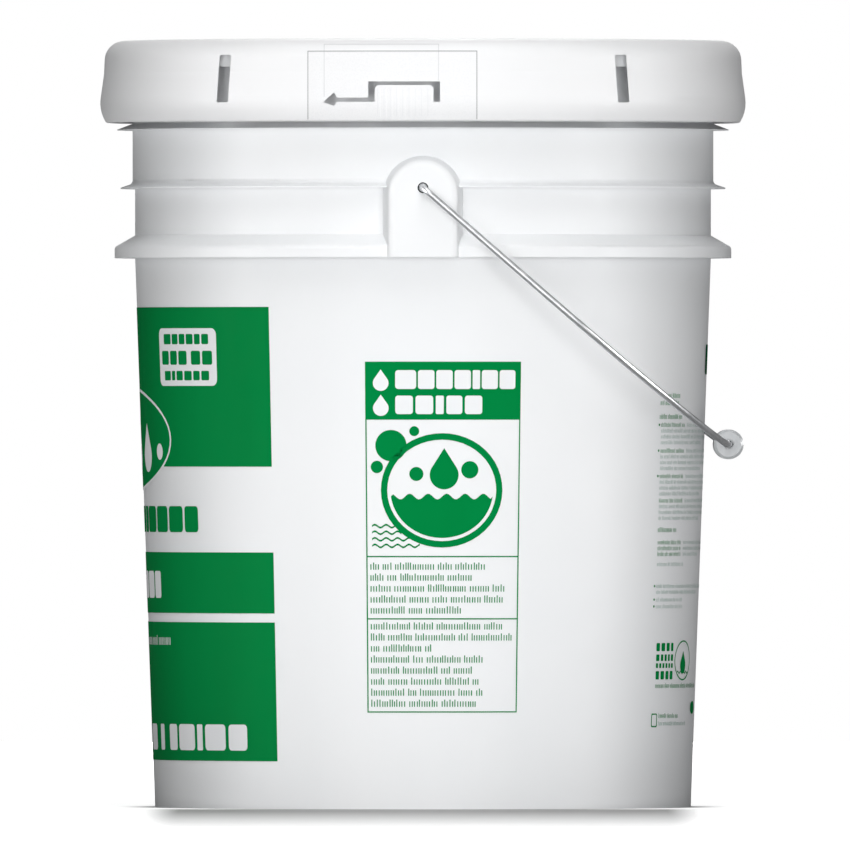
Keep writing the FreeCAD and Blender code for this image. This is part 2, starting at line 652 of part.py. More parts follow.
fill_sheet()
parts = [
    make_pail_body(),
    make_lid(),
    make_lid_gasket(),
    make_bail_wire(),
    make_bail_grip(),
]
doc.recompute()
check(parts)
os.makedirs("parts", exist_ok=True)
for item in parts:
    item.Shape.exportStep(f"parts/{item.Label}.step")
    print(item.Label, round(item.Shape.Volume), item.Shape.optimalBoundingBox(True, False))
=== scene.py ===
"""Looks of the lidded detergent pail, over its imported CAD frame: finishes, prints, light and camera.

Metres in the row frame, +Z up.  The front print faces -X, the side panel and the tear tab face -Y,
and the back print faces +X.  Print layouts are in millimetres on the unrolled wall: x runs along the
wall to the right as seen from outside, z up from the ground.
"""

import json
import math
import random

import bmesh
import bpy
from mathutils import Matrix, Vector
from mathutils.bvhtree import BVHTree
from mathutils.geometry import tessellate_polygon


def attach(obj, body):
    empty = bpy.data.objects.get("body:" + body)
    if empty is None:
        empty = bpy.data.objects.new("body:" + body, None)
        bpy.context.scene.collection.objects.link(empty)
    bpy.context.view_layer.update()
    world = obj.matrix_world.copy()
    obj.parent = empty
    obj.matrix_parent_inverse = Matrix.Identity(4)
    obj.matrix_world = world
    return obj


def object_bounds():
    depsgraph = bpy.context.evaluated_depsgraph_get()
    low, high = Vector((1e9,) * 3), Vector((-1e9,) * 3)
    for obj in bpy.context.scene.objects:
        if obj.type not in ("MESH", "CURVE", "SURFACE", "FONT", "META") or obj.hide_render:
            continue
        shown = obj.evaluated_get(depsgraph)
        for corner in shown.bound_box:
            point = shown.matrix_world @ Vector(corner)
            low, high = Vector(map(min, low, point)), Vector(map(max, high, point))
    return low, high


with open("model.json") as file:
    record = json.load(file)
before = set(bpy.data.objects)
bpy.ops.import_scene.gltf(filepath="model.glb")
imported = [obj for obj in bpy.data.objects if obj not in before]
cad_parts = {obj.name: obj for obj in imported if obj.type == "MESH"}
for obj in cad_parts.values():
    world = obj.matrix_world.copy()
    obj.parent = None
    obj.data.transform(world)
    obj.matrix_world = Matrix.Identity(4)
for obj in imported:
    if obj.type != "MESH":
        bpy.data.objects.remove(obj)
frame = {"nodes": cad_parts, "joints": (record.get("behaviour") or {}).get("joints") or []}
cad_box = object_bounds()

MM = 0.001
# FILM_LIFT lifts the films of painted shade as well as the ink
FILM_LIFT = 0.12 * MM        # the first film of ink, out from its surface
INK_STEP = 0.07 * MM        # each further film, out from the one below
COLUMN = math.radians(1.5)  # widest flat column of a film bent round the wall
FRONT, SIDE, BACK = math.radians(180), math.radians(-90), math.radians(0)

PAIL = frame["nodes"]["pail_body"]
LID = frame["nodes"]["lid"]
PIVOT = [joint for joint in frame["joints"] if joint["name"] == "bail_swing"][0]["pos_m"]

# Clear label over the tear slot, millimetres from the pail's axis and from the ground
LABEL_LEFT, LABEL_RIGHT, LABEL_TOP = -56.1, 26.4, 368.9
LABEL_FOOT, LABEL_LINE_FOOT = 335, 335.6


# ---------------------------------------------------------------- materials

class Nodes:
    """A material's node tree, with short calls for what the finishes here need."""

    def __init__(self, name):
        self.material = bpy.data.materials.new(name)
        self.material.use_nodes = True
        self.tree = self.material.node_tree
        self.shader = self.tree.nodes["Principled BSDF"]
        self.place = self.add("ShaderNodeTexCoord").outputs["Object"]

    def add(self, kind, **inputs):
        node = self.tree.nodes.new(kind)
        for name, number in inputs.items():
            node.inputs[name.replace("_", " ")].default_value = number
        return node

    def link(self, source, target):
        self.tree.links.new(source, target)

    def stretched(self, x, y, z):
        """Object coordinates, scaled by a number along each axis."""
        mapping = self.add("ShaderNodeMapping")
        mapping.inputs["Scale"].default_value = (x, y, z)
        self.link(self.place, mapping.inputs["Vector"])
        return mapping.outputs["Vector"]

    def noise(self, scale, detail=2.0, vector=None):
        node = self.add("ShaderNodeTexNoise", Scale=scale, Detail=detail)
        self.link(vector or self.place, node.inputs["Vector"])
        return node.outputs["Fac"]

    def math(self, operation, first, second):
        """A sum on two sockets or numbers."""
        node = self.tree.nodes.new("ShaderNodeMath")
        node.operation = operation
        for socket, value in zip(node.inputs, (first, second)):
            if isinstance(value, (int, float)):
                socket.default_value = value
            else:
                self.link(value, socket)
        return node.outputs[0]

    def axes(self):
        """Object coordinates as three numbers."""
        split = self.add("ShaderNodeSeparateXYZ")
        self.link(self.place, split.inputs[0])
        return split.outputs

    def inside(self, low, high):
        """1 inside a box of object coordinates, 0 outside."""
        share = 1.0
        for axis, first, last in zip(self.axes(), low, high):
            share = self.math("MULTIPLY", share, self.math("GREATER_THAN", axis, first))
            share = self.math("MULTIPLY", share, self.math("LESS_THAN", axis, last))
        return share

    def spread(self, source, low, high, start=0.3, stop=0.7):
        """Remap a texture from start..stop to low..high."""
        node = self.add("ShaderNodeMapRange", From_Min=start, From_Max=stop, To_Min=low, To_Max=high)
        self.link(source, node.inputs["Value"])
        return node.outputs["Result"]

    def blend(self, factor, first, second):
        """Mix two colours by a texture."""
        node = self.tree.nodes.new("ShaderNodeMix")
        node.data_type = "RGBA"
        self.link(factor, node.inputs["Factor"])
        for socket, colour in (("A", first), ("B", second)):
            target = [item for item in node.inputs if item.name == socket and item.type == "RGBA"][0]
            if isinstance(colour, tuple):
                target.default_value = (*colour, 1)
            else:
                self.link(colour, target)
        return [item for item in node.outputs if item.type == "RGBA"][0]

    def bump(self, height, distance, strength=1.0, after=None):
        node = self.add("ShaderNodeBump", Strength=strength, Distance=distance)
        self.link(height, node.inputs["Height"])
        if after:
            self.link(after, node.inputs["Normal"])
        return node.outputs["Normal"]

    def finish(self, colour, roughness, normal=None, **fixed):
        self.link(colour, self.shader.inputs["Base Color"])
        self.link(roughness, self.shader.inputs["Roughness"])
        if normal:
            self.link(normal, self.shader.inputs["Normal"])
        for name, number in fixed.items():
            self.shader.inputs[name.replace("_", " ")].default_value = number
        return self.material


def linear(red, green, blue):
    """sRGB 0-255 to the linear colour that a shader takes."""
    return tuple((c / 255 / 12.92) if c <= 10 else ((c / 255 + 0.055) / 1.055) ** 2.4
                 for c in (red, green, blue))


def moulded_plastic(name, colour, shade, label=None):
    """Satin polyethylene: faint flow marks up the wall, cloudy colour and a fine skin texture.

    A label is a box of the surface that a clear film covers, which shows as a fine speckle.
    """
    nodes = Nodes(name)
    streaks = nodes.noise(22, 3, nodes.stretched(1, 1, 0.06))
    clouds = nodes.noise(9, 3)
    cloudy = nodes.blend(nodes.spread(clouds, 0, 0.55), colour, shade)
    streaked = nodes.blend(nodes.spread(streaks, 0, 0.35), cloudy, shade)
    if label:
        specks = nodes.spread(nodes.noise(1300, 1), 0, 0.35, 0.46, 0.66)
        streaked = nodes.blend(nodes.math("MULTIPLY", specks, nodes.inside(*label)), streaked, SPECK)
    rough = nodes.spread(nodes.noise(60, 3), 0.42, 0.52)
    skin = nodes.bump(nodes.noise(1500, 2), 0.03 * MM, 0.25)
    flow = nodes.bump(streaks, 0.4 * MM, 0.12, skin)
    return nodes.finish(streaked, rough, flow, IOR=1.45, Specular_IOR_Level=0.2)


def ink_and_painted_shade(name, colour, shade, rough=(0.5, 0.6)):
    """Screen-printed ink, and the films of painted shade made the same way: a thin even film with slight
    streaks of the squeegee.
    """
    nodes = Nodes(name)
    film = nodes.noise(26, 3, nodes.stretched(1, 1, 0.12))
    mottled = nodes.blend(nodes.spread(film, 0, 1), colour, shade)
    grain = nodes.bump(nodes.noise(1800, 2), 0.02 * MM, 0.25)
    roughness = nodes.spread(nodes.noise(80, 3), *rough)
    return nodes.finish(mottled, roughness, grain, IOR=1.45, Specular_IOR_Level=0.01)


def galvanised_wire():
    """Drawn steel with a zinc coat: spangled grey, with fine marks of the die."""
    nodes = Nodes("galvanised_wire")
    spangle = nodes.noise(240, 4)
    marks = nodes.noise(900, 3, nodes.stretched(0.25, 1, 0.25))
    zinc = nodes.blend(nodes.spread(spangle, 0, 1), linear(212, 213, 215), linear(188, 190, 193))
    rough = nodes.spread(marks, 0.3, 0.42)
    drawn = nodes.bump(marks, 0.03 * MM, 0.4)
    return nodes.finish(zinc, rough, drawn, Metallic=0.8)


def natural_plastic():
    """Unpigmented polyethylene of the grip: a milky grey."""
    nodes = Nodes("natural_plastic")
    milk = nodes.blend(nodes.spread(nodes.noise(120, 3), 0, 1), linear(186, 188, 190), linear(178, 181, 183))
    rough = nodes.spread(nodes.noise(300, 3), 0.3, 0.42)
    skin = nodes.bump(nodes.noise(1400, 2), 0.03 * MM, 0.3)
    return nodes.finish(milk, rough, skin, IOR=1.5, Coat_Weight=0.15)


def foam_rubber():
    """Grey foam of the lid's gasket, with open cells whose pits are painted darker, as shade in them."""
    nodes = Nodes("foam_rubber")
    cells = nodes.add("ShaderNodeTexVoronoi", Scale=900)
    nodes.link(nodes.place, cells.inputs["Vector"])
    depth = cells.outputs["Distance"]
    # Painted shade: the colour darkens towards the pits that the bump below digs
    colour = nodes.blend(nodes.spread(depth, 0, 1, 0, 0.6), linear(96, 96, 98), linear(140, 140, 142))
    rough = nodes.spread(nodes.noise(200), 0.75, 0.9)
    return nodes.finish(colour, rough, nodes.bump(depth, 0.2 * MM, 0.6))


def dress(node, material):
    """Give a CAD node its finish."""
    for item in frame["nodes"][node].material_slots:
        item.material = material


SPECK = linear(232, 233, 235)
WHITE_PAIL = moulded_plastic("pail_plastic", linear(242, 243, 244), linear(235, 237, 239))
WHITE_LID = moulded_plastic("lid_plastic", linear(243, 243, 244), linear(237, 238, 239),
                            ((LABEL_LEFT * MM, -1, LABEL_FOOT * MM), (LABEL_RIGHT * MM, 0, LABEL_TOP * MM)))
GREEN = ink_and_painted_shade("green_ink", linear(0, 135, 67), linear(0, 129, 63))
DARK_GREEN = ink_and_painted_shade("dark_green_ink", linear(0, 86, 50), linear(4, 78, 46))
PALE_GREEN = ink_and_painted_shade("pale_green_ink", linear(128, 168, 150), linear(116, 158, 140))
WHITE_INK = ink_and_painted_shade("white_ink", linear(243, 244, 245), linear(236, 238, 240))
# Painted shade: grey line along the clear label's edge
LABEL_EDGE_SHADE = ink_and_painted_shade("label_edge", linear(184, 185, 186), linear(172, 173, 175))
# Painted shade: grey line along the raised tab's edge
TAB_EDGE_SHADE = ink_and_painted_shade("tab_edge", linear(224, 225, 226), linear(218, 219, 221))
# Painted shade beside the tab's ribs
RIB_SHADE = ink_and_painted_shade("rib_shade", linear(236, 237, 238), linear(231, 232, 234))
# Dark grey of the painted shade round the ears' wire holes
HOLE_SHADE = ink_and_painted_shade("hole_shade_film", linear(48, 50, 52), linear(30, 32, 34))

dress("pail_body", WHITE_PAIL)
dress("lid", WHITE_LID)
dress("lid_gasket", foam_rubber())
dress("bail_wire", galvanised_wire())
dress("bail_grip", natural_plastic())


# ---------------------------------------------------------------- the pail's wall

def tree_of(node):
    """Search tree of a CAD node's mesh."""
    return BVHTree.FromObject(node, bpy.context.evaluated_depsgraph_get())


def widest(tree, height):
    """Largest radius of a node at a height, over all azimuths in half degrees."""
    reach = 0
    for half_degree in range(720):
        angle = math.radians(half_degree / 2)
        way = Vector((math.cos(angle), math.sin(angle), 0))
        hit = tree.ray_cast(way + Vector((0, 0, height)), -way)
        reach = max(reach, hit[0].xy.length)
    return reach


pail_tree = tree_of(PAIL)
LOW, HIGH = 10 * MM, 240 * MM
LOW_RADIUS, HIGH_RADIUS = widest(pail_tree, LOW), widest(pail_tree, HIGH)
WALL_SLOPE = (HIGH_RADIUS - LOW_RADIUS) / (HIGH - LOW)
LAYOUT_HEIGHT = 150 * MM


def wall_radius(height):
    return LOW_RADIUS + WALL_SLOPE * (height - LOW)


LAYOUT_RADIUS = wall_radius(LAYOUT_HEIGHT)


def wall_point(x, z, centre, lift):
    """Point on the wall and the wall's normal there, from a layout's x and z in millimetres."""
    angle = centre + x * MM / LAYOUT_RADIUS
    reach = wall_radius(z * MM) + lift
    way = Vector((math.cos(angle), math.sin(angle), 0))
    return way * reach + Vector((0, 0, z * MM)), (way - Vector((0, 0, WALL_SLOPE))).normalized()


def degrees(angle):
    """Length along the layout, in millimetres, of an angle round the pail."""
    return math.radians(angle) * LAYOUT_RADIUS / MM


# ---------------------------------------------------------------- shapes of the prints

def arc(x, z, across, up, start=0, stop=360, count=48):
    """Points along an ellipse, angles in degrees."""
    span = math.radians(stop - start)
    steps = count if abs(stop - start) >= 360 else count + 1
    return [(x + across * math.cos(math.radians(start) + span * i / count),
             z + up * math.sin(math.radians(start) + span * i / count)) for i in range(steps)]


def bar(left, right, low, high, corner=0.0):
    """Rectangle with rounded corners."""
    if corner == 0:
        return [[(left, low), (right, low), (right, high), (left, high)]]
    loop = []
    for x, z, start in ((right - corner, low + corner, -90), (right - corner, high - corner, 0),
                        (left + corner, high - corner, 90), (left + corner, low + corner, 180)):
        loop += arc(x, z, corner, corner, start, start + 90, 5)
    return [loop]


def disc(x, z, across, up=None):
    """Circle, or an ellipse where up differs from across; both are half widths."""
    return [arc(x, z, across, up or across)]


def ring(x, z, across, up, line):
    """Outline of an ellipse, its line drawn inside."""
    return [arc(x, z, across, up), arc(x, z, across - line, up - line)]


def drop(x, z, half, height):
    """Drop with its point up; z is the centre of its round end."""
    tip = height - half
    side = math.degrees(math.acos(half / tip))
    return [arc(x, z, half, half, 90 + side, 450 - side, 32) + [(x, z + tip)]]


def wave(left, right, z, swell, period, line):
    """Wavy line."""
    count = max(8, int((right - left) / period * 12))
    xs = [left + (right - left) * i / count for i in range(count + 1)]
    crest = [(x, z + swell * math.sin(2 * math.pi * (x - left) / period)) for x in xs]
    return [[(x, y - line / 2) for x, y in crest] + [(x, y + line / 2) for x, y in reversed(crest)]]


def bowl(x, z, across, up, level, swell, period):
    """Lower part of an ellipse, filled up to a wavy level."""
    reach = across * math.sqrt(1 - ((level - z) / up) ** 2)
    side = math.degrees(math.asin((level - z) / up))
    round_part = arc(x, z, across, up, 180 - side, 360 + side, 40)
    count = 48
    xs = [x + reach - 2 * reach * i / count for i in range(1, count)]
    return [round_part + [(u, level + swell * math.sin(2 * math.pi * (u - x) / period)) for u in xs]]


def strokes(left, right, low, high, seed, share):
    """A row of thin upright ticks in groups, as dense as a line of small type and saying nothing."""
    draw = random.Random(seed)
    pitch = (high - low) * 0.36
    wide = pitch * share
    shapes, x = [], left
    while x < right - pitch:
        for _ in range(2 * draw.randint(2, 9)):
            if x + wide > right:
                break
            top = high if draw.random() < 0.25 else low + (high - low) * 0.76
            shapes.append(bar(x, x + wide, low, top))
            x += pitch * draw.uniform(0.85, 1.15)
        x += pitch
    return shapes


def blocks(left, right, low, high, groups, space=0.1, gap=0.5):
    """A headline as groups of upright blocks; a group lists its blocks' widths as shares."""
    parts = sum(sum(group) + space * (len(group) - 1) for group in groups) + gap * (len(groups) - 1)
    unit = (right - left) / parts
    shapes, x = [], left
    for group in groups:
        for width in group:
            shapes.append(bar(x, x + width * unit, low, high, min(width * unit, high - low) * 0.16))
            x += (width + space) * unit
        x += (gap - space) * unit
    return shapes


def flat_mesh(shapes, across, upright=None):
    """Filled outlines in the plane, cut into columns (and rows) that can be bent."""
    flat = bmesh.new()
    for loops in shapes:
        points = [point for loop in loops for point in loop]
        verts = [flat.verts.new((x, z, 0)) for x, z in points]
        for triangle in tessellate_polygon([[Vector((x, z, 0)) for x, z in loop] for loop in loops]):
            flat.faces.new([verts[i] for i in triangle])
    for axis, step in enumerate((across, upright)):
        if not step:
            continue
        low = min(vert.co[axis] for vert in flat.verts)
        high = max(vert.co[axis] for vert in flat.verts)
        for line in range(math.ceil(low / step), math.floor(high / step) + 1):
            place, way = [0, 0, 0], [0, 0, 0]
            place[axis], way[axis] = line * step, 1
            bmesh.ops.bisect_plane(flat, geom=flat.verts[:] + flat.edges[:] + flat.faces[:],
                                   plane_co=place, plane_no=way, dist=1e-5)
    return flat


def film(name, flat, place, material, body):
    """Lay a flat mesh on a surface: place gives the point and normal for a layout's x and z."""
    normals = []
    for vert in flat.verts:
        vert.co, normal = place(vert.co.x, vert.co.y)
        normals.append(normal)
    flat.verts.index_update()
    for face in flat.faces:
        face.smooth = True
        face.normal_update()
    inward = [face for face in flat.faces if face.normal.dot(normals[face.verts[0].index]) < 0]
    bmesh.ops.reverse_faces(flat, faces=inward)
    mesh = bpy.data.meshes.new(name)
    flat.to_mesh(mesh)
    flat.free()
    mesh.normals_split_custom_set_from_vertices(normals)
    mesh.materials.append(material)
    piece = bpy.data.objects.new(name, mesh)
    bpy.context.scene.collection.objects.link(piece)
    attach(piece, body)


def print_on_wall(name, shapes, centre, material, layer=0):
    """One film of ink, bent round the wall."""
    lift = FILM_LIFT + INK_STEP * layer
    flat = flat_mesh(shapes, COLUMN * LAYOUT_RADIUS / MM)
    film(name, flat, lambda x, z: wall_point(x, z, centre, lift), material, "pail")


# ---------------------------------------------------------------- front print

FIELD = degrees(57.6)


def front_print():
    print_on_wall("front_fields", [
        bar(-FIELD, FIELD, 166.7, 244.5),
        bar(-FIELD, FIELD, 95.2, 124.9),
        bar(-FIELD, FIELD, 23.2, 90.8),
    ], FRONT, GREEN)
    badge_left, badge_right = degrees(22.8), degrees(43.8)
    print_on_wall("front_badge", [bar(badge_left, badge_right, 206.1, 234.2, 3.2)], FRONT, WHITE_INK, 1)
    middle = (badge_left + badge_right) / 2
    print_on_wall("front_badge_rows", [
        *blocks(middle - 19.5, middle + 19.5, 226.4, 231.4, ((1.3, 1, 0.9, 1, 0.8, 0.9),), 0.2),
        *blocks(middle - 22, middle + 22, 216.4, 223.2, ((1, 0.9, 1), (1, 1)), 0.2),
        *blocks(middle - 19.5, middle + 19.5, 208.8, 213.4, ((1, 0.5, 0.9, 1, 0.8, 0.9),), 0.2),
    ], FRONT, GREEN, 2)
    wide, tall, line = degrees(27), 25.0, 1.5
    print_on_wall("front_medallion_rim", [ring(0, 180, wide, tall, line)], FRONT, WHITE_INK, 1)
    print_on_wall("front_medallion", [disc(0, 180, wide - line, tall - line)], FRONT, GREEN, 1)
    print_on_wall("front_medallion_drops", [
        drop(0, 173, 10.5, 32),
        drop(-wide * 0.46, 172, 8, 24),
        drop(wide * 0.46, 172, 8, 24),
        disc(-wide * 0.78, 174, 4),
        disc(wide * 0.78, 174, 4),
    ], FRONT, WHITE_INK, 2)
    title = degrees(36.5)
    print_on_wall("front_title", blocks(
        -title, title, 134.7, 147.4,
        ((1, 1.1, 1.1, 0.9, 0.9, 1, 1, 0.5, 1.1, 1.1, 1.1, 0.9),), 0.14), FRONT, GREEN)
    band, small, foot = degrees(19), degrees(24), degrees(49.8)
    print_on_wall("front_lines", [
        *blocks(-band, band, 102.5, 115.7, ((1, 0.5, 1, 1.1, 1, 1.1, 0.8),), 0.14),
        *strokes(-small, small, 79.6, 84.4, 13, 0.42),
        *blocks(-foot, foot, 28.3, 41.0,
                ((1,), (1.1, 1, 0.8, 0.8, 1.1, 1.1, 1), (0.4,), (0.6, 1, 0.3, 1, 0.8)), 0.14),
    ], FRONT, WHITE_INK, 1)


front_print()


# ---------------------------------------------------------------- side panel

def side_panel():
    left, right = degrees(-11.7), degrees(20.05)
    low, high, head = 47.1, 217.8, 189.6
    line = 0.6
    print_on_wall("side_frame", [
        bar(left, right, head, high),
        bar(left, left + line, low, head),
        bar(right - line, right, low, head),
        bar(left + line, right - line, low, low + line),
        bar(left + line, right - line, 122.7, 122.7 + line),
        bar(left + line, right - line, 92.4, 92.4 + line),
    ], SIDE, GREEN)
    word = left + 14.6
    print_on_wall("side_headings", [
        drop(left + 7.6, 207.4, 3.8, 10.4),
        *blocks(word, right - 2.8, 204.5, 213.7, ((1.4, 1.1, 1.1, 1.1, 0.5, 1.1, 1.1),), 0.12),
        drop(left + 7.6, 195.2, 3.8, 10.4),
        *blocks(word, word + 42, 192.3, 201.3, ((1.1, 1.1, 0.5, 1, 1.1),), 0.16),
    ], SIDE, WHITE_INK, 1)
    middle, centre = 9.3, 155.2
    wide, tall, rim = 29.8, 27.8, 3.1
    print_on_wall("side_motif", [
        ring(middle, centre, wide, tall, rim),
        bowl(middle, centre, wide - rim - 1.6, tall - rim - 1.6, centre - 3, 1.4, 9),
        drop(middle + 1, centre + 7.5, 7, 20),
        disc(middle - 12.5, centre + 8, 3.4),
        disc(middle + 13.5, centre + 10, 4.2),
    ], SIDE, GREEN)
    print_on_wall("side_bubbles", [
        disc(-15.5, 177.0, 7.6),
        disc(-22.4, 166.6, 3.0),
        disc(-4.2, 184.0, 2.4),
    ], SIDE, GREEN)
    print_on_wall("side_waves", [
        wave(-25.0, stop, z, 0.7, 5.6, 0.9)
        for stop, z in ((-13.5, 137.8), (-10.5, 134.6), (-6.5, 131.4), (-1.5, 128.2))
    ], SIDE, GREEN)
    rows = []
    margin, measure = left + 2.0, 71.5
    for top, pitch, seed, shares in (
            (116.6, 5.33, 31, (0.79, 0.71, 0.93, 0.93, 0.63)),
            (87.5, 5.37, 41, (0.92, 1.0, 0.43, 0.78, 0.72, 0.76, 0.78, 0.74))):
        for index, share in enumerate(shares):
            foot = top - pitch * index
            rows += strokes(margin, margin + measure * share, foot, foot + 3.5, seed + index, 0.4)
    print_on_wall("side_rows", rows, SIDE, GREEN)


side_panel()


# ---------------------------------------------------------------- back print

def back_print():
    left, right = -degrees(33.7), degrees(33.7)
    print_on_wall("back_title", blocks(
        -degrees(7), right, 211.8, 226.4, ((1, 1, 0.5, 1.2, 1, 0.5, 1, 1),), 0.16), BACK, DARK_GREEN)
    heads, rows = [], []
    for z, start, stop in ((201.4, 6.4, 21), (197.9, 1.4, 21.5), (191.1, 1.0, 24.5), (135.9, 2.4, 21)):
        heads += strokes(left + start, left + stop, z - 1.2, z + 1.3, round(z), 0.34)
    # Height of the first line, number of lines, how many of them begin bold, and whether a bullet leads
    paragraphs = (
        (187.1, 4, 1, True), (174.5, 4, 1, True), (162.1, 4, 1, True),
        (150.2, 4, 1, False), (129.8, 3, 3, False), (119.1, 1, 0, False),
        (108.4, 2, 0, True), (101.8, 1, 0, True), (98.5, 1, 0, True),
    )
    for number, (top, lines, bold, bullet) in enumerate(paragraphs):
        if bullet:
            heads.append(disc(left + 0.8, top, 0.6))
        for line in range(lines):
            z, seed = top - 2.85 * line, 60 + 8 * number + line
            margin = left + 2.6
            if line < bold:
                heads += strokes(margin, margin + 25, z - 1.1, z + 1.1, seed, 0.3)
                margin += 28
            ends = right if line < lines - 1 else left + (32 if lines == 1 else 58)
            rows += strokes(margin, ends, z - 1.0, z + 1.0, seed + 200, 0.22)
    heads += strokes(left + 8.5, left + 32, 43.9, 46.3, 120, 0.3)
    rows += strokes(left + 8.5, left + 44, 40.3, 42.3, 121, 0.28)
    heads += strokes(left + 4.4, left + 66, 58.6, 61.0, 122, 0.34)
    print_on_wall("back_heads", heads, BACK, GREEN)
    print_on_wall("back_rows", rows, BACK, PALE_GREEN)
    word, globe = left + 4.4, left + 36.5
    print_on_wall("back_motif", [
        *blocks(word, word + 18, 76.6, 80.6, ((1, 1.1, 1, 0.8),), 0.5),
        *blocks(word, word + 18, 71.8, 75.0, ((1.3, 1, 0.9, 0.8, 1),), 0.6),
        *blocks(word, word + 18, 68.4, 70.7, ((1, 1, 1, 1, 0.9, 1),), 0.6),
        *blocks(word, word + 18, 62.8, 66.9, ((1, 1.1, 1, 1),), 0.5),
        ring(globe, 72, 12, 9.8, 0.7),
        drop(globe, 69.6, 4.0, 11),
        wave(globe - 8.5, globe + 8.5, 66.2, 0.5, 4.2, 0.6),
        disc(-degrees(8.5), 48.8, 6, 3.2),
    ], BACK, GREEN)
    print_on_wall("back_corner_box", [
        [bar(left + 1.5, left + 7, 39.5, 46.2, 1)[0], bar(left + 2.1, left + 6.4, 40.1, 45.6, 0.7)[0]],
    ], BACK, GREEN)


back_print()


# ---------------------------------------------------------------- painted shade lines on the lid: clear label, tab and ribs

lid_tree = tree_of(LID)


def lid_point(x, z):
    """Point just outside the lid's skirt, seen straight along Y, and the skirt's normal there."""
    start = Vector((x * MM, cad_box[0][1] - 50 * MM, z * MM))
    spot, normal, _, _ = lid_tree.ray_cast(start, Vector((0, 1, 0)))
    return spot + normal * FILM_LIFT, normal


def lid_lines():
    """Painted shade lines: along the edges of the clear label, open at its foot, and of the raised tab
    behind it, and beside the tab's ribs.
    """
    line = 0.42
    label = flat_mesh([
        bar(LABEL_LEFT, LABEL_LEFT + line, LABEL_LINE_FOOT, LABEL_TOP),
        bar(LABEL_RIGHT - line, LABEL_RIGHT, LABEL_LINE_FOOT, LABEL_TOP),
        bar(LABEL_LEFT + line, LABEL_RIGHT - line, LABEL_TOP - line, LABEL_TOP),
    ], 2.5, 1.5)
    film("lid_label_edge", label, lid_point, LABEL_EDGE_SHADE, "lid")
    tab = flat_mesh([
        bar(-48.2, -47.8, 346.5, 372.2),
        bar(7.4, 7.8, 354.6, 372.2),
        bar(-47.8, 7.4, 371.8, 372.2),
    ], 2.5, 1.0)
    film("lid_tab_edge", tab, lid_point, TAB_EDGE_SHADE, "lid")
    ribs = (-21.6 + 3.04 * number for number in range(9))
    shade = flat_mesh([bar(x - 0.55, x - 0.2, 337, 350.4) for x in ribs], None, 1.0)
    film("lid_tab_rib_shade", shade, lid_point, RIB_SHADE, "lid")


lid_lines()


# ---------------------------------------------------------------- painted shade round the ears' holes

# Size of the painted dark ring round each ear's hole, in millimetres
HOLE_SHADE_RADIUS, HOLE_SHADE_LINE = 2.6, 0.52


def hole_shade_film(name, side):
    """Painted shade on one ear: a dark ring round the wire's hole, standing in for the shadowed gap between
    wire and hole; side -1 for -Y, 1 for +Y.
    """
    beside = Vector((PIVOT[0] - 4 * MM, side, PIVOT[2]))
    face = pail_tree.ray_cast(beside, Vector((0, -side, 0)))[0].y + side * FILM_LIFT

    def ear_point(x, z):
        return Vector((PIVOT[0] + x * MM, face, PIVOT[2] + z * MM)), Vector((0, side, 0))

    mark = flat_mesh([ring(0, 0, HOLE_SHADE_RADIUS, HOLE_SHADE_RADIUS, HOLE_SHADE_LINE)], None)
    film(name, mark, ear_point, HOLE_SHADE, "pail")


hole_shade_film("ear_hole_shade_near", -1)
hole_shade_film("ear_hole_shade_far", 1)


# ---------------------------------------------------------------- floor, light and camera

# Lengths in metres; a pair is where something begins to change and where it has changed.
FLOOR_REACH = 4.0
FLOOR_FALL = math.tan(math.radians(10))
# The paper's colour to the camera and to its bounced light, its own white near the pail, the white
# added further out, and what white the painted contact shadow keeps
FLOOR_TONE, FLOOR_BOUNCE = 0.42, 0.2
FLOOR_WHITE, FLOOR_FAR, FAR_RING = 0.78, 0.3, (0.4, 1.2)
FOOT_WHITE = 0.1
# The painted contact shadow, where less of the paper's white is shown: a strip in front of the foot, and a
# ring that follows the foot
CONTACT_X, CONTACT_FRONT, CONTACT_REAR = (0.119, 0.137), (0.138, 0.182), (-0.132, -0.112)
CONTACT_RING = (0.132, 0.152)
# Light from below: none under the pail, less behind it and less far away
FLOOR_GLOW, GLOW_RING = 0.62, (0.14, 0.3)
GLOW_BEHIND, FRONT_EDGE = 0.35, (-0.3, 0.3)
GLOW_FAR, GLOW_FADE = 0.75, (0.6, 2.5)


def lay_floor():
    """Pale floor that falls away slightly in front, so that the contact shadow shows from level; the shadow
    is partly cast and partly painted into the floor's white.
    """
    edge = -LOW_RADIUS - 1 * MM
    low = (edge + FLOOR_REACH) * -FLOOR_FALL
    rows = ((-FLOOR_REACH, low), (edge, 0), (FLOOR_REACH, 0))
    corners = [(x, y, z) for y, z in rows for x in (-FLOOR_REACH, FLOOR_REACH)]
    mesh = bpy.data.meshes.new("floor")
    mesh.from_pydata(corners, [], [(0, 1, 3, 2), (2, 3, 5, 4)])
    mesh.materials.append(floor_paper())
    floor = bpy.data.objects.new("floor", mesh)
    bpy.context.scene.collection.objects.link(floor)


def length(nodes, x, y):
    """Length of a flat vector."""
    squares = nodes.math("ADD", nodes.math("MULTIPLY", x, x), nodes.math("MULTIPLY", y, y))
    return nodes.math("SQRT", squares, 0)


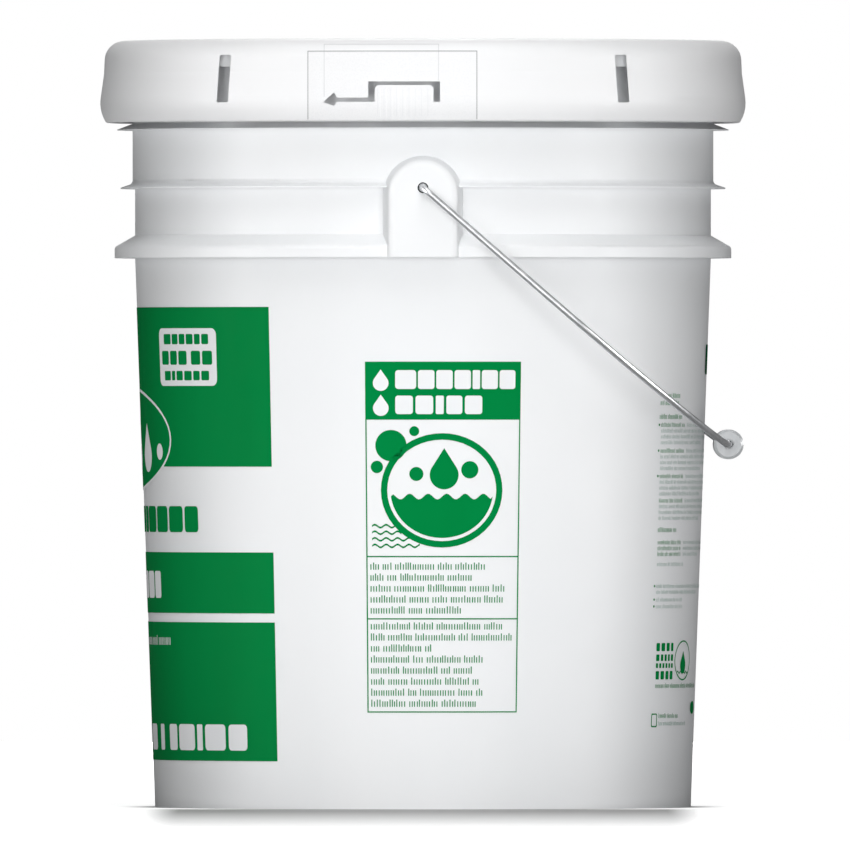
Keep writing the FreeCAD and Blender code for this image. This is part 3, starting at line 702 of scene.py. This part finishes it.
def floor_paper():
    """Lit paper: white to the eye away from the pail, with its cast shadows and a contact shadow painted
    into its white near the foot, and a glow that lights the pail a little from below.
    """
    nodes = Nodes("floor_paper")
    path = nodes.add("ShaderNodeLightPath")
    tone = nodes.blend(nodes.spread(nodes.noise(3), 0, 1), (FLOOR_TONE,) * 3, (FLOOR_TONE * 0.98,) * 3)
    seen = nodes.blend(path.outputs["Is Camera Ray"], (FLOOR_BOUNCE,) * 3, tone)
    nodes.finish(seen, nodes.spread(nodes.noise(40), 0.8, 0.9), Specular_IOR_Level=0.0)
    x, y, _ = nodes.axes()
    out = length(nodes, x, y)
    # Painted contact shadow: the white shown to the camera drops in a strip before the foot and a ring round
    # it
    beside = nodes.spread(nodes.math("ABSOLUTE", x, 0), 0, 1, *CONTACT_X)
    before = nodes.spread(nodes.math("MULTIPLY", y, -1), 0, 1, *CONTACT_FRONT)
    behind = nodes.spread(y, 0, 1, *CONTACT_REAR)
    strip = nodes.math("MINIMUM", length(nodes, beside, nodes.math("MAXIMUM", before, behind)), 1)
    clear = nodes.math("MINIMUM", strip, nodes.spread(out, FOOT_WHITE, 1, *CONTACT_RING))
    away = nodes.spread(out, 0, FLOOR_GLOW, *GLOW_RING)
    far = nodes.spread(out, 0, FLOOR_FAR, *FAR_RING)
    shown = nodes.math("ADD", nodes.math("MULTIPLY", clear, FLOOR_WHITE), far)
    seen_white = nodes.math("MULTIPLY", shown, path.outputs["Is Camera Ray"])
    front = nodes.spread(y, 1, GLOW_BEHIND, *FRONT_EDGE)
    near = nodes.spread(out, 1, GLOW_FAR, *GLOW_FADE)
    glow = nodes.math("MULTIPLY", nodes.math("MULTIPLY", away, nodes.math("MULTIPLY", front, near)),
                      path.outputs["Is Diffuse Ray"])
    strength = nodes.math("ADD", seen_white, glow)
    white = nodes.add("ShaderNodeEmission")
    nodes.link(strength, white.inputs["Strength"])
    both = nodes.add("ShaderNodeAddShader")
    nodes.link(nodes.shader.outputs[0], both.inputs[0])
    nodes.link(white.outputs[0], both.inputs[1])
    nodes.link(both.outputs[0], nodes.tree.nodes["Material Output"].inputs["Surface"])
    return nodes.material


lay_floor()


def soft_lamp(name, azimuth, elevation, distance, size, power, lit=True, gloss=True):
    """Square softbox aimed at the pail's middle, in degrees, metres and watts.

    With lit off it shows only in reflections, and with gloss off it shows in none.
    """
    light = bpy.data.lights.new(name, "AREA")
    light.shape = "SQUARE"
    light.size = size
    light.energy = power
    lamp = bpy.data.objects.new(name, light)
    bpy.context.scene.collection.objects.link(lamp)
    a, e = math.radians(azimuth), math.radians(elevation)
    way = Vector((math.cos(a) * math.cos(e), math.sin(a) * math.cos(e), math.sin(e)))
    middle = (Vector(cad_box[0]) + Vector(cad_box[1])) / 2
    lamp.location = middle + way * distance
    lamp.rotation_euler = way.to_track_quat("Z", "Y").to_euler()
    lamp.visible_camera = False
    lamp.visible_diffuse = lit
    lamp.visible_glossy = gloss


soft_lamp("front_left", -105, 2, 4.0, 1.2, 41)
soft_lamp("front_right", -75, 2, 4.0, 1.2, 41)
soft_lamp("front_high", -90, 30, 4.0, 2.4, 24)
soft_lamp("front_top", -90, 64, 3.0, 2.0, 42)
soft_lamp("side_left", 180, 4, 4.0, 1.2, 3)
soft_lamp("side_right", 0, 4, 4.0, 1.2, 3)
soft_lamp("rear", 90, 5, 4.0, 1.2, 66, gloss=False)
soft_lamp("rear_high", 90, 40, 4.0, 1.2, 40)
soft_lamp("gloss_left", -165, 2, 4.0, 2.2, 300, lit=False)
soft_lamp("gloss_right", -15, 2, 4.0, 2.2, 300, lit=False)
soft_lamp("gloss_top", -90, 75, 2.5, 3.0, 24, lit=False)


AMBIENT = 0.03
CAMERA_PLACE = (0.001, -19.658, 0.187)
LENS, SENSOR = 1700, 36


def light_world():
    """White behind everything that is seen, and a trace of light all round."""
    world = bpy.data.worlds.new("studio")
    world.use_nodes = True
    bpy.context.scene.world = world
    tree = world.node_tree
    background = tree.nodes["Background"]
    background.inputs["Color"].default_value = (1, 1, 1, 1)
    path = tree.nodes.new("ShaderNodeLightPath")
    ambient = tree.nodes.new("ShaderNodeMath")
    ambient.operation = "MAXIMUM"
    ambient.inputs[1].default_value = AMBIENT
    tree.links.new(path.outputs["Is Camera Ray"], ambient.inputs[0])
    tree.links.new(ambient.outputs[0], background.inputs["Strength"])


light_world()


def place_camera():
    """Level view of the -Y side from far off, through a long lens."""
    data = bpy.data.cameras.new("camera")
    data.lens = LENS
    data.sensor_width = SENSOR
    data.clip_end = 100
    camera = bpy.data.objects.new("camera", data)
    bpy.context.scene.collection.objects.link(camera)
    camera.location = CAMERA_PLACE
    camera.rotation_euler = (math.radians(90), 0, 0)
    bpy.context.scene.camera = camera


place_camera()
bpy.context.scene.view_settings.view_transform = "Standard"
